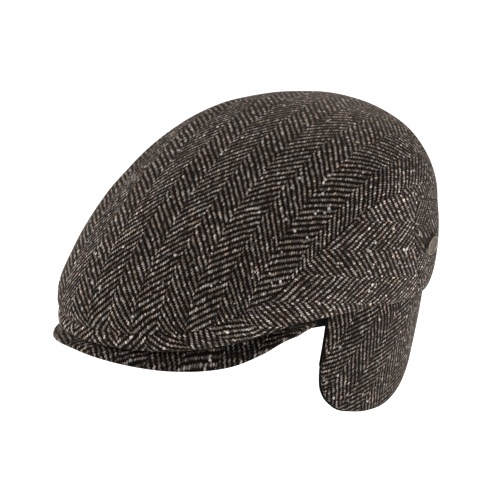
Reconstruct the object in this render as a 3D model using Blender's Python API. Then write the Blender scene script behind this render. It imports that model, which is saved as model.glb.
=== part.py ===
"""Herringbone tweed flat cap with its ear flap folded down, as separate sewn pieces.

The frame is +Z up, with the front of the cap along -Y and the wearer's left along +X.
The origin is the centre of the head opening, level with the crown's lower edge.
Every place round the cap is a turn in degrees: 0 at the front, 90 at the left ear,
180 at the nape. Lengths are in metres.
"""

import math

import bmesh
import bpy
import numpy as np

# Head opening, measured inside the band
HEAD_WIDTH = 0.160
HEAD_LENGTH = 0.200

# Cloth and the space kept between two pieces
CLOTH = 0.0018
LINING = 0.0010
BAND_CLOTH = 0.0012
GAP = 0.0003

# Crown, above the lower edge and beyond it
CROWN_HEIGHT = 0.1145
CROWN_TILT = 0.11
CROWN_CENTRE = 0.005
FRONT_ROUNDING = 0.138
BACK_ROUNDING = 0.215
SIDE_ROUNDING = 0.225
SEAM_HEIGHT = 0.075
SIDE_OVERHANG = 0.0085
BACK_OVERHANG = 0.004
PANEL_BULGE = 0.0040
NAPE_DIP = 0.0090

# Peak, beyond the crown's lower edge
PEAK_REACH = 0.058
PEAK_FLARE = 0.0055
PEAK_DROP = 0.0165
PEAK_THICKNESS = 0.0038
PEAK_END_TURN = 70.5

# Inner band
BAND_HEIGHT = 0.036
BAND_DROP = 0.0072

# Ear flap
FLAP_DEPTH = 0.0767
FLAP_ROOT = 0.008
FLAP_TUCK = 0.0135
FLAP_FORWARD = 0.0060
FLAP_START_TURN = 75.6
LINING_SHOW = 0.0008
LINING_LEAD = 0.0016
LINING_CORNER_SHARE = 0.5

# Seam between the side and back panels: its turn at the top, how far back its lower
# end lies and how far it bows towards the front between them
BACK_SEAM_TURN = 114.5
BACK_SEAM_LEAN = 0.0083
BACK_SEAM_BOW = 0.0108

# Oval pin on the back panel
PIN_WIDTH = 0.0195
PIN_HEIGHT = 0.0118
PIN_THICKNESS = 0.0020
PIN_DISH = 0.0006
PIN_TURN = 123.5
PIN_HEIGHT_SHARE = 0.53

# How finely the pieces are faceted
RING_COLUMNS = 72
TOP_ROWS = 12
SIDE_ROWS = 7
PEAK_ROWS = 7
FLAP_ROWS = 8
PIN_COLUMNS = 24

# Seam of the top panel: its height as a share of SEAM_HEIGHT, how far forward it
# reaches as a share of PEAK_REACH, and the bulge of the panel below it as a share
# of PANEL_BULGE
SEAM_COLUMNS = ("turn", "height", "forward", "bulge")
SEAM_ROWS = (
    (0, 0.04, 0.88, 0.6),
    (20, 0.04, 0.88, 0.6),
    (40, 0.07, 0.87, 0.6),
    (52, 0.16, 0.86, 0.6),
    (64, 0.36, 0.86, 0.6),
    (76, 0.68, 0.86, 0.8),
    (90, 0.94, 0.86, 0.8),
    (104, 0.95, 0.86, 0.9),
    (120, 0.81, 0.86, 1.0),
    (150, 0.63, 0.86, 1.0),
    (180, 0.59, 0.86, 1.0),
)

# Lower end of the top panel's curve: how far it puffs out past the seam as a share of
# the span from the crown's middle, and how high its steep end reaches as a share of
# the rise from the seam to the middle
TOP_COLUMNS = ("turn", "puff", "steep")
TOP_TABLE = (
    (0, 0.085, 0.15),
    (20, 0.085, 0.15),
    (40, 0.09, 0.28),
    (52, 0.08, 0.42),
    (64, 0.05, 0.48),
    (76, 0.00, 0.50),
    (90, -0.04, 0.50),
    (104, -0.05, 0.50),
    (120, 0.00, 0.50),
    (150, 0.00, 0.50),
    (180, 0.00, 0.50),
)

# Lower edge of the crown: where it lies on the peak as a share of the peak's reach,
# and how far it dips towards the nape as a share of NAPE_DIP
EDGE_COLUMNS = ("turn", "reach", "dip")
EDGE_ROWS = (
    (0, 0.90, 0.0),
    (20, 0.86, 0.0),
    (40, 0.74, 0.0),
    (52, 0.63, 0.0),
    (64, 0.46, 0.0),
    (72, 0.30, 0.0),
    (80, 0.12, 0.0),
    (92, 0.00, 0.1),
    (110, 0.00, 0.5),
    (140, 0.00, 1.0),
    (180, 0.00, 1.0),
)

# Outer edge of the peak: how far it hangs below its root as a share of PEAK_DROP
PEAK_COLUMNS = ("turn", "drop")
PEAK_TABLE = (
    (0, 0.45),
    (14, 0.58),
    (26, 0.77),
    (36, 0.93),
    (46, 1.00),
    (54, 0.92),
    (61, 0.61),
    (68, 0.15),
    (76, 0.00),
    (90, 0.00),
    (180, 0.00),
)

# Lower edge of the ear flap: its depth as a share of FLAP_DEPTH
FLAP_COLUMNS = ("turn", "depth")
FLAP_TABLE = (
    (0, 0.43),
    (75.5, 0.43),
    (76.0, 0.525),
    (77.0, 0.63),
    (78.8, 0.715),
    (81.5, 0.79),
    (87, 0.885),
    (95, 0.946),
    (104, 0.992),
    (114, 1.00),
    (126, 0.938),
    (138, 0.81),
    (150, 0.785),
    (180, 0.765),
)

# Steepness of the peak's curve from root to edge
PEAK_CURVE = 1.8

# How low the bulge of the side and back panels sits: 1 puts it at half height, less is lower
PANEL_LOWNESS = 0.7


def value_at(columns, rows, name, turns):
    """Read one named column of a table at the given turns, smoothly and the same on both sides."""
    position = columns.index(name)
    keys = np.array([row[0] for row in rows], float)
    values = np.array([row[position] for row in rows], float)
    keys = np.concatenate([[-keys[1]], keys, [360.0 - keys[-2]]])
    values = np.concatenate([[values[1]], values, [values[-2]]])
    turns = np.abs((np.asarray(turns, float) + 180.0) % 360.0 - 180.0)
    low = np.clip(np.searchsorted(keys, turns, side="right") - 1, 1, len(keys) - 3)
    step = keys[low + 1] - keys[low]
    share = (turns - keys[low]) / step
    rise = values[low + 1] - values[low]
    slope_in = (values[low + 1] - values[low - 1]) / (keys[low + 1] - keys[low - 1]) * step
    slope_out = (values[low + 2] - values[low]) / (keys[low + 2] - keys[low]) * step
    bend = share * (1.0 - share)
    ease = share * share * (3.0 - 2.0 * share)
    return values[low] + ease * rise + bend * ((1.0 - share) * slope_in - share * slope_out)


def oval(turns, half_width, ahead, behind):
    """Points of an oval in the level plane, with its own reach ahead of and behind the origin."""
    angles = np.radians(turns)
    reach = np.where(np.cos(angles) > 0.0, ahead, behind)
    return np.stack([half_width * np.sin(angles), -reach * np.cos(angles)], axis=-1)


def outward(turns, half_width, half_length):
    """Level unit directions that point straight out of an oval."""
    angles = np.radians(turns)
    along = np.stack([np.sin(angles) / half_width, -np.cos(angles) / half_length], axis=-1)
    return along / np.linalg.norm(along, axis=-1, keepdims=True)


def with_height(plan, height):
    """Join level points and heights into points in space."""
    height = np.broadcast_to(np.asarray(height, float), plan.shape[:-1])
    return np.concatenate([plan, height[..., None]], axis=-1)


def layers_to_rim():
    """Thickness of all the layers between the head and the crown's outer face."""
    return BAND_CLOTH + LINING + 2.0 * CLOTH + 3.0 * GAP


def rim_half_sizes():
    """Half width and half length of the crown's lower edge, outside."""
    return HEAD_WIDTH / 2.0 + layers_to_rim(), HEAD_LENGTH / 2.0 + layers_to_rim()


def peak_top(turns, share):
    """Points on the upper face of the peak, from its root (share 0) to its edge (share 1)."""
    half_width, half_length = rim_half_sizes()
    root = oval(turns, half_width, half_length, half_length)
    edge_length = half_length + PEAK_REACH
    edge = oval(turns, half_width + PEAK_FLARE, edge_length, edge_length)
    share = np.clip(share, 0.0, 1.0)
    plan = root + (edge - root) * share[..., None]
    drop = value_at(PEAK_COLUMNS, PEAK_TABLE, "drop", turns) * PEAK_DROP
    return with_height(plan, -GAP - drop * share**PEAK_CURVE)


def crown_edge(turns):
    """Points on the outer lower edge of the crown, resting just over the peak in front."""
    reach = value_at(EDGE_COLUMNS, EDGE_ROWS, "reach", turns)
    dip = value_at(EDGE_COLUMNS, EDGE_ROWS, "dip", turns) * NAPE_DIP
    points = peak_top(turns, reach)
    points[..., 2] += 2.0 * GAP + 0.5 * CLOTH - dip
    return points


def seam_plan(turns):
    """Level points of the seam round the top panel."""
    half_width, half_length = rim_half_sizes()
    forward = value_at(SEAM_COLUMNS, SEAM_ROWS, "forward", turns) * PEAK_REACH
    return oval(turns, half_width + SIDE_OVERHANG, half_length + forward, half_length + BACK_OVERHANG)


def seam(turns):
    """Points of the seam round the top panel."""
    height = value_at(SEAM_COLUMNS, SEAM_ROWS, "height", turns) * SEAM_HEIGHT
    return with_height(seam_plan(turns), height)


def panel_outward(turns):
    """Level directions straight out of the side panels."""
    half_width, half_length = rim_half_sizes()
    return outward(turns, half_width + SIDE_OVERHANG, half_length + 0.5 * PEAK_REACH)


def side_face(turns, heights):
    """Outer face of the side and back panels: rows from the lower edge up to the seam."""
    low = crown_edge(turns)
    high = seam(turns)
    high[..., 2] -= GAP
    bulge = value_at(SEAM_COLUMNS, SEAM_ROWS, "bulge", turns) * PANEL_BULGE
    heights = np.asarray(heights, float)[:, None, None]
    fullness = heights**PANEL_LOWNESS
    swell = with_height(panel_outward(turns) * bulge[:, None], 0.0)
    return low + (high - low) * heights + 4.0 * fullness * (1.0 - fullness) * swell


def top_face(turns, shares):
    """Outer face of the top panel: rows from its middle down to the seam.

    Each column is a smooth curve that leaves the middle along the crown's tilt, with the
    rounding of its direction, and comes down to the seam along the panel's steep end.
    """
    upward = np.array([0.0, 0.0, 1.0])
    low = seam(turns)
    low[..., 2] += GAP
    middle = np.array([0.0, CROWN_CENTRE, CROWN_HEIGHT])
    rise = (middle - low)[:, 2:3]
    span = (low - middle) * np.array([1.0, 1.0, 0.0])
    length = np.linalg.norm(span, axis=1, keepdims=True)
    direction = span / length
    puff = value_at(TOP_COLUMNS, TOP_TABLE, "puff", turns)[:, None]
    steep = value_at(TOP_COLUMNS, TOP_TABLE, "steep", turns)[:, None]
    end = low + span * puff + upward * rise * steep
    slope = direction[:, 1:2] * CROWN_TILT
    fall = CROWN_HEIGHT + slope * length * (1.0 + puff) - end[:, 2:3]
    rounding = np.where(direction[:, 1:2] < 0.0, FRONT_ROUNDING, BACK_ROUNDING)
    bend = direction[:, 0:1] ** 2 / SIDE_ROUNDING + direction[:, 1:2] ** 2 / rounding
    level = np.minimum(np.sqrt(2.0 * fall / (3.0 * bend)), 0.9 * length)
    start = middle + (direction + upward * slope) * level
    share = np.asarray(shares, float)[:, None, None]
    rest = 1.0 - share
    curve = rest**3 * middle + 3.0 * rest**2 * share * start
    return curve + 3.0 * rest * share**2 * end + share**3 * low


def face_normals(points, ring):
    """Unit normals of a grid of points, pointing away from the cap's inside."""
    if ring:
        wide = np.concatenate([points[:, -1:], points, points[:, :1]], axis=1)
        across = wide[:, 2:] - wide[:, :-2]
    else:
        across = np.gradient(points, axis=1)
    along = np.gradient(points, axis=0)
    normals = np.cross(across, along)
    normals /= np.linalg.norm(normals, axis=-1, keepdims=True) + 1e-12
    inside = np.array([0.0, 0.0, 0.0])
    return normals * np.where(np.sum(normals * (points - inside), axis=-1, keepdims=True) < 0.0, -1.0, 1.0)


def grid_faces(index):
    """Four-sided faces between neighbouring rows and columns of point numbers."""
    corners = np.stack([index[:-1, :-1], index[:-1, 1:], index[1:, 1:], index[1:, :-1]], axis=-1)
    return corners.reshape(-1, 4).tolist()


def material(name, colour, roughness, metallic=0.0):
    """A plain Principled material for one piece."""
    made = bpy.data.materials.new(name)
    made.use_nodes = True
    shader = made.node_tree.nodes["Principled BSDF"]
    shader.inputs["Base Color"].default_value = (*colour, 1.0)
    shader.inputs["Roughness"].default_value = roughness
    shader.inputs["Metallic"].default_value = metallic
    return made


def add_shell(name, outer, inner, finish, ring=False, pole=False):
    """Add a closed cloth wall between two grids of points.

    A ring joins its last column to its first. A pole is a first row drawn to one point.
    """
    rows, columns = outer.shape[:2]
    faces_out = np.arange(rows * columns).reshape(rows, columns)
    faces_in = faces_out + rows * columns
    if ring:
        faces_out = np.concatenate([faces_out, faces_out[:, :1]], axis=1)
        faces_in = np.concatenate([faces_in, faces_in[:, :1]], axis=1)
    faces = grid_faces(faces_out) + grid_faces(faces_in[:, ::-1])
    faces += grid_faces(np.stack([faces_in[-1], faces_out[-1]])[::-1])
    if not pole:
        faces += grid_faces(np.stack([faces_in[0], faces_out[0]]))
    if not ring:
        faces += grid_faces(np.stack([faces_out[:, 0], faces_in[:, 0]]))
        faces += grid_faces(np.stack([faces_in[:, -1], faces_out[:, -1]]))
    points = np.concatenate([outer.reshape(-1, 3), inner.reshape(-1, 3)])
    mesh = bpy.data.meshes.new(name)
    mesh.from_pydata(points.tolist(), [], faces)
    body = bmesh.new()
    body.from_mesh(mesh)
    bmesh.ops.remove_doubles(body, verts=body.verts, dist=1e-7)
    bmesh.ops.triangulate(body, faces=body.faces)
    bmesh.ops.recalc_face_normals(body, faces=body.faces)
    body.to_mesh(mesh)
    body.free()
    mesh.materials.append(finish)
    solid = bpy.data.objects.new(name, mesh)
    bpy.context.scene.collection.objects.link(solid)
    return solid


def add_top_panel():
    """The single panel that covers the crown from the front edge to the nape."""
    turns = np.linspace(-180.0, 180.0, RING_COLUMNS, endpoint=False)
    shares = np.linspace(0.0, 1.0, TOP_ROWS) ** 0.85
    outer = top_face(turns, shares)
    normals = face_normals(outer, ring=True)
    normals[0] = np.array([0.0, -CROWN_TILT, 1.0]) / math.hypot(CROWN_TILT, 1.0)
    level = with_height(panel_outward(turns), 0.0)
    normals[-1] = level
    normals[-2] = (normals[-2] + level) / np.linalg.norm(normals[-2] + level, axis=-1, keepdims=True)
    inner = outer - normals * CLOTH
    tweed = material("top_tweed", (0.10, 0.09, 0.08), 0.95)
    return add_shell("top_panel", outer, inner, tweed, ring=True, pole=True)


def side_gap_turn():
    """Half of the gap between two neighbouring panels, as a turn in degrees."""
    return math.degrees(0.6 * GAP / rim_half_sizes()[0])


def front_seam_turn(height):
    """Turn of the seam between the two side panels: the middle of the front at any height."""
    return 0.0 * height


def back_seam_turn(height):
    """Turn of the left seam between the side and back panels at a share of their height.

    The bow is deepest at two thirds of the height, where its shape has the value 1.
    """
    lean = math.degrees(BACK_SEAM_LEAN / rim_half_sizes()[1]) * (1.0 - height)
    bow = math.degrees(BACK_SEAM_BOW / rim_half_sizes()[1]) * 6.75 * height**2 * (1.0 - height)
    return BACK_SEAM_TURN + lean - bow


def add_panel(name, start, end, shade):
    """A side or back panel, from the lower edge to the seam of the top panel.

    The start and the end each give the turn of one edge at a share of the height.
    """
    columns = max(6, round(abs(end(0.0) - start(0.0)) / 360.0 * RING_COLUMNS) + 1)
    outer, inner = [], []
    for height in np.linspace(0.0, 1.0, SIDE_ROWS):
        turns = np.linspace(start(height) + side_gap_turn(), end(height) - side_gap_turn(), columns)
        outer.append(side_face(turns, [height])[0])
        inner.append(outer[-1] - with_height(panel_outward(turns), 0.0) * CLOTH)
    outer, inner = np.stack(outer), np.stack(inner)
    tweed = material(name + "_tweed", (shade, 0.92 * shade, 0.85 * shade), 0.95)
    return add_shell(name, outer, inner, tweed)


def add_peak():
    """The stiffened peak, covered with tweed, with its root against the inner band."""
    turns = np.linspace(-PEAK_END_TURN, PEAK_END_TURN, round(RING_COLUMNS * PEAK_END_TURN / 180.0) + 1)
    shares = np.linspace(0.0, 1.0, PEAK_ROWS)
    upper = np.stack([peak_top(turns, np.full(len(turns), share)) for share in shares])
    root = oval(turns, HEAD_WIDTH / 2.0 + BAND_CLOTH + GAP, HEAD_LENGTH / 2.0 + BAND_CLOTH + GAP, 0.0)
    upper[0, :, :2] = root
    lower = upper - np.array([0.0, 0.0, PEAK_THICKNESS])
    tweed = material("peak_tweed", (0.09, 0.08, 0.07), 0.95)
    return add_shell("peak", upper, lower, tweed)


def layer_plan(turns, distance):
    """Level points of the oval that lies a distance outside the head opening."""
    half_width = HEAD_WIDTH / 2.0 + distance
    half_length = HEAD_LENGTH / 2.0 + distance
    return oval(turns, half_width, half_length, half_length)


def add_inner_band():
    """The dark band inside the crown that grips the head."""
    turns = np.linspace(-180.0, 180.0, RING_COLUMNS, endpoint=False)
    heights = np.linspace(-BAND_DROP, BAND_HEIGHT - BAND_DROP, 4)
    outer = np.stack([with_height(layer_plan(turns, BAND_CLOTH), height) for height in heights])
    inner = np.stack([with_height(layer_plan(turns, 0.0), height) for height in heights])
    cloth = material("band_cloth", (0.012, 0.012, 0.013), 0.9)
    return add_shell("inner_band", outer, inner, cloth, ring=True)


def flap_face(turns, distance, extra, lead=0.0):
    """Rows of one face of the flap, from its root inside the crown to its lower edge.

    The extra is how much deeper it hangs than the tweed, and the lead is how far its front
    corners are ahead of the tweed's, in degrees.
    """
    corner_turns = turns + lead * np.sign(180.0 - turns)
    depth = value_at(FLAP_COLUMNS, FLAP_TABLE, "depth", corner_turns) * FLAP_DEPTH + extra
    swing = math.degrees(FLAP_FORWARD / rim_half_sizes()[1]) * (1.0 - turns / 180.0) * 2.0
    free = BAND_DROP + GAP
    rows = [with_height(layer_plan(turns, distance), FLAP_ROOT)]
    for share in np.linspace(0.0, 1.0, FLAP_ROWS):
        hang = free + (depth - free) * share
        below = (hang - free) / FLAP_DEPTH
        plan = layer_plan_inset(turns - swing * below, distance, FLAP_TUCK * below**1.2)
        rows.append(with_height(plan, -hang))
    return np.stack(rows)


def layer_plan_inset(turns, distance, inset):
    """Points of a layer, moved in towards the head by an inset of their own each."""
    directions = outward(turns, HEAD_WIDTH / 2.0, HEAD_LENGTH / 2.0)
    return layer_plan(turns, distance) - directions * np.asarray(inset)[..., None]


def flap_turns(forward):
    """Turns of the flap's columns, closer together where its front corners curve."""
    start = FLAP_START_TURN - forward
    ring = np.linspace(0.0, 180.0, RING_COLUMNS // 2 + 1)
    ring = ring[ring > start + 12.0]
    corner = start + (ring[0] - start) * np.linspace(0.0, 1.0, 7)[:-1] ** 1.5
    left = np.concatenate([corner, ring])
    return np.concatenate([left, 360.0 - left[-2::-1]])


def add_ear_flap():
    """The tweed flap that runs from ear to ear round the nape, folded down."""
    distance = BAND_CLOTH + GAP + LINING + GAP
    turns = flap_turns(0.0)
    outer = flap_face(turns, distance + CLOTH, 0.0)
    inner = flap_face(turns, distance, 0.0)
    tweed = material("flap_tweed", (0.08, 0.073, 0.065), 0.95)
    return add_shell("ear_flap", outer, inner, tweed)


def add_flap_lining():
    """The dark lining inside the ear flap, showing past the tweed below and more in front."""
    distance = BAND_CLOTH + GAP
    lead = math.degrees(LINING_LEAD / rim_half_sizes()[1])
    turns = flap_turns(lead)
    corner_lead = lead * LINING_CORNER_SHARE
    outer = flap_face(turns, distance + LINING, LINING_SHOW, corner_lead)
    inner = flap_face(turns, distance, LINING_SHOW, corner_lead)
    cloth = material("lining_cloth", (0.010, 0.010, 0.011), 0.9)
    return add_shell("flap_lining", outer, inner, cloth)


def pin_frame():
    """Centre of the pin's back and its three directions: two across it and one out."""
    step = 0.5
    turns = np.array([PIN_TURN - step, PIN_TURN, PIN_TURN + step])
    heights = np.array([PIN_HEIGHT_SHARE - 0.02, PIN_HEIGHT_SHARE, PIN_HEIGHT_SHARE + 0.02])
    patch = side_face(turns, heights)
    across = patch[1, 2] - patch[1, 0]
    upward = patch[2, 1] - patch[0, 1]
    out = np.cross(across, upward)
    out /= np.linalg.norm(out)
    if np.dot(out[:2], patch[1, 1, :2]) < 0.0:
        out = -out
    upward /= np.linalg.norm(upward)
    side = np.cross(upward, out)
    return patch[1, 1] + out * GAP, side, upward, out


def add_pin():
    """The small bare metal pin on the back panel: an oval with a raised rim."""
    centre, side, upward, out = pin_frame()
    profile = (
        (0.0, PIN_THICKNESS - PIN_DISH),
        (0.76, PIN_THICKNESS - PIN_DISH),
        (0.86, PIN_THICKNESS),
        (0.94, PIN_THICKNESS),
        (1.0, 0.6 * PIN_THICKNESS),
    )
    angles = np.linspace(0.0, 2.0 * math.pi, PIN_COLUMNS, endpoint=False)
    across = np.cos(angles)[:, None] * side * PIN_WIDTH / 2.0
    around = across + np.sin(angles)[:, None] * upward * PIN_HEIGHT / 2.0
    front = np.stack([centre + around * wide + out * high for wide, high in profile])
    back = np.stack([centre + around * wide + out * 0.0 for wide, _ in profile])
    metal = material("pin_metal", (0.28, 0.24, 0.19), 0.4, metallic=1.0)
    return add_shell("pin", front, back, metal, ring=True, pole=True)


def clear_scene():
    """Remove everything that the new file starts with."""
    for thing in list(bpy.data.objects):
        bpy.data.objects.remove(thing, do_unlink=True)


def main():
    """Build every piece of the cap."""
    clear_scene()
    bpy.context.scene.unit_settings.system = "METRIC"
    bpy.context.scene.unit_settings.scale_length = 1.0
    add_top_panel()
    add_panel("side_panel_left", front_seam_turn, back_seam_turn, 0.095)
    add_panel("side_panel_right", lambda height: -back_seam_turn(height), front_seam_turn, 0.095)
    add_panel("back_panel", back_seam_turn, lambda height: 360.0 - back_seam_turn(height), 0.09)
    add_peak()
    add_inner_band()
    add_ear_flap()
    add_flap_lining()
    add_pin()


if __name__ == "__main__":
    main()
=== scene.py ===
"""Herringbone tweed flat cap with its ear flap folded down: cloth, pin, light and camera.

The frame is +Z up, with the front of the cap along -Y and the wearer's left along +X.
The origin is the centre of the head opening, level with the crown's lower edge.
Every place round the cap is a turn in degrees: 0 at the front, 90 at the left ear,
180 at the nape. Lengths are in metres.
"""

import logging
import math
from collections.abc import Callable, Sequence
from dataclasses import dataclass
from enum import Enum

import bpy
import numpy as np
from mathutils import Matrix, Vector

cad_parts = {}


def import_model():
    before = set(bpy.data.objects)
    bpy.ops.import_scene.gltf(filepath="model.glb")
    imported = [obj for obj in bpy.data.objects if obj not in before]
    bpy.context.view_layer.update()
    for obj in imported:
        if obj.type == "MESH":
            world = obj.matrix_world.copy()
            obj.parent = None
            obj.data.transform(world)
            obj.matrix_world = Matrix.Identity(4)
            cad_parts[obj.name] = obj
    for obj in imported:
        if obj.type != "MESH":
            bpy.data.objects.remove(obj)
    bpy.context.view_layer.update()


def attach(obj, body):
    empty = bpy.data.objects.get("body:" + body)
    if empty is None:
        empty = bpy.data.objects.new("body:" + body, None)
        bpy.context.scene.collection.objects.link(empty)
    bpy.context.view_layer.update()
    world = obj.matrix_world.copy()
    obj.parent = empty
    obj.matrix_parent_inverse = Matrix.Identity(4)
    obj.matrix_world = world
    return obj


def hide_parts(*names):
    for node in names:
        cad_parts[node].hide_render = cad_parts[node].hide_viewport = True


Array = np.ndarray
Colour = tuple[float, float, float]
Pair = tuple[float, float]

WEAVE_MAP = "Weave"
ROOT = "root"
# The bow h * h * (1 - h) is deepest at two thirds of the height h, and this makes it 1 there.
BOW_SCALE = 6.75
# Keeps a direction finite where its length is zero.
TINY = 1e-15
# Numbers of the Mix node's inputs for colours, and of its colour output.
MIX_FACTOR, MIX_FIRST, MIX_SECOND, MIX_RESULT = 0, 6, 7, 2
# Moves a place aside, so that the same run draws other lots.
OTHER_LOTS = (0.37, 0.71, 0.0)

log = logging.getLogger("cap")


@dataclass(frozen=True)
class RingTable:
    """A short table of shares round the cap, the same on both sides.

    Each row starts with its turn in degrees, from the front to the nape.
    """

    columns: tuple[str, ...]
    rows: tuple[tuple[float, ...], ...]

    def at(self, name: str, turns: Array) -> Array:
        """Read one column smoothly.

        Args:
            name: The column to read.
            turns: Places round the cap in degrees.

        Returns:
            The column's value at each of the turns.
        """
        position = self.columns.index(name)
        keys = np.array([row[0] for row in self.rows], float)
        values = np.array([row[position] for row in self.rows], float)
        keys = np.concatenate([[-keys[1]], keys, [360.0 - keys[-2]]])
        values = np.concatenate([[values[1]], values, [values[-2]]])
        turns = np.abs((np.asarray(turns, float) + 180.0) % 360.0 - 180.0)
        low = np.clip(np.searchsorted(keys, turns, side="right") - 1, 1, len(keys) - 3)
        step = keys[low + 1] - keys[low]
        share = (turns - keys[low]) / step
        rise = values[low + 1] - values[low]
        slope_in = (values[low + 1] - values[low - 1]) / (keys[low + 1] - keys[low - 1]) * step
        slope_out = (values[low + 2] - values[low]) / (keys[low + 2] - keys[low]) * step
        bend = share * (1.0 - share)
        ease = share * share * (3.0 - 2.0 * share)
        return values[low] + ease * rise + bend * ((1.0 - share) * slope_in - share * slope_out)


SEAM_TABLE = RingTable(
    ("turn", "height", "forward", "bulge"),
    (
        (0, 0.04, 0.88, 0.6),
        (20, 0.04, 0.88, 0.6),
        (40, 0.07, 0.87, 0.6),
        (52, 0.16, 0.86, 0.6),
        (64, 0.36, 0.86, 0.6),
        (76, 0.68, 0.86, 0.8),
        (90, 0.94, 0.86, 0.8),
        (104, 0.95, 0.86, 0.9),
        (120, 0.81, 0.86, 1.0),
        (150, 0.63, 0.86, 1.0),
        (180, 0.59, 0.86, 1.0),
    ),
)
TOP_TABLE = RingTable(
    ("turn", "puff", "steep"),
    (
        (0, 0.085, 0.15),
        (20, 0.085, 0.15),
        (40, 0.09, 0.28),
        (52, 0.08, 0.42),
        (64, 0.05, 0.48),
        (76, 0.00, 0.50),
        (90, -0.04, 0.50),
        (104, -0.05, 0.50),
        (120, 0.00, 0.50),
        (150, 0.00, 0.50),
        (180, 0.00, 0.50),
    ),
)
EDGE_TABLE = RingTable(
    ("turn", "reach", "dip"),
    (
        (0, 0.90, 0.0),
        (20, 0.86, 0.0),
        (40, 0.74, 0.0),
        (52, 0.63, 0.0),
        (64, 0.46, 0.0),
        (72, 0.30, 0.0),
        (80, 0.12, 0.0),
        (92, 0.00, 0.1),
        (110, 0.00, 0.5),
        (140, 0.00, 1.0),
        (180, 0.00, 1.0),
    ),
)
PEAK_TABLE = RingTable(
    ("turn", "drop"),
    (
        (0, 0.45),
        (14, 0.58),
        (26, 0.77),
        (36, 0.93),
        (46, 1.00),
        (54, 0.92),
        (61, 0.61),
        (68, 0.15),
        (76, 0.00),
        (90, 0.00),
        (180, 0.00),
    ),
)
FLAP_TABLE = RingTable(
    ("turn", "depth"),
    (
        (0, 0.43),
        (75.5, 0.43),
        (76.0, 0.525),
        (77.0, 0.63),
        (78.8, 0.715),
        (81.5, 0.79),
        (87, 0.885),
        (95, 0.946),
        (104, 0.992),
        (114, 1.00),
        (126, 0.938),
        (138, 0.81),
        (150, 0.785),
        (180, 0.765),
    ),
)


def with_height(plan: Array, height: Array | float) -> Array:
    """Join level points and heights into points in space."""
    height = np.broadcast_to(np.asarray(height, float), plan.shape[:-1])
    return np.concatenate([plan, height[..., None]], axis=-1)


def oval(turns: Array, half_width: float, ahead: Array | float, behind: float) -> Array:
    """Find the level points of an oval.

    Args:
        turns: Places round the cap.
        half_width: Reach to the sides.
        ahead: Reach to the front.
        behind: Reach to the back.

    Returns:
        A level point for each turn.
    """
    angles = np.radians(turns)
    reach = np.where(np.cos(angles) > 0.0, ahead, behind)
    return np.stack([half_width * np.sin(angles), -reach * np.cos(angles)], axis=-1)


def outward(turns: Array, half_width: float, half_length: float) -> Array:
    """Find the level unit directions straight out of an oval.

    Args:
        turns: Places round the cap.
        half_width: Reach of the oval to the sides.
        half_length: Reach of the oval to front and back.

    Returns:
        A level direction for each turn.
    """
    angles = np.radians(turns)
    across = np.stack([np.sin(angles) / half_width, -np.cos(angles) / half_length], axis=-1)
    return across / np.linalg.norm(across, axis=-1, keepdims=True)


def along(points: Array, axis: int) -> Array:
    """Measure the distance travelled over a grid of points.

    Args:
        points: Points in rows and columns.
        axis: 0 to travel down the columns, 1 to travel along the rows.

    Returns:
        Distance of each point from the first one on its way.
    """
    steps = np.linalg.norm(np.diff(points, axis=axis), axis=-1)
    first = np.zeros_like(np.take(steps, [0], axis=axis))
    return np.concatenate([first, np.cumsum(steps, axis=axis)], axis=axis)


def blend_at(value: Array, low: float, high: float) -> Array:
    """A smooth step from 0 at the low value to 1 at the high value."""
    share = np.clip((value - low) / (high - low), 0.0, 1.0)
    return share * share * (3.0 - 2.0 * share)


def closed_ring(grid: Array) -> Array:
    """A grid with its first column once more after its last."""
    return np.concatenate([grid, grid[:, :1]], axis=1)


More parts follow.
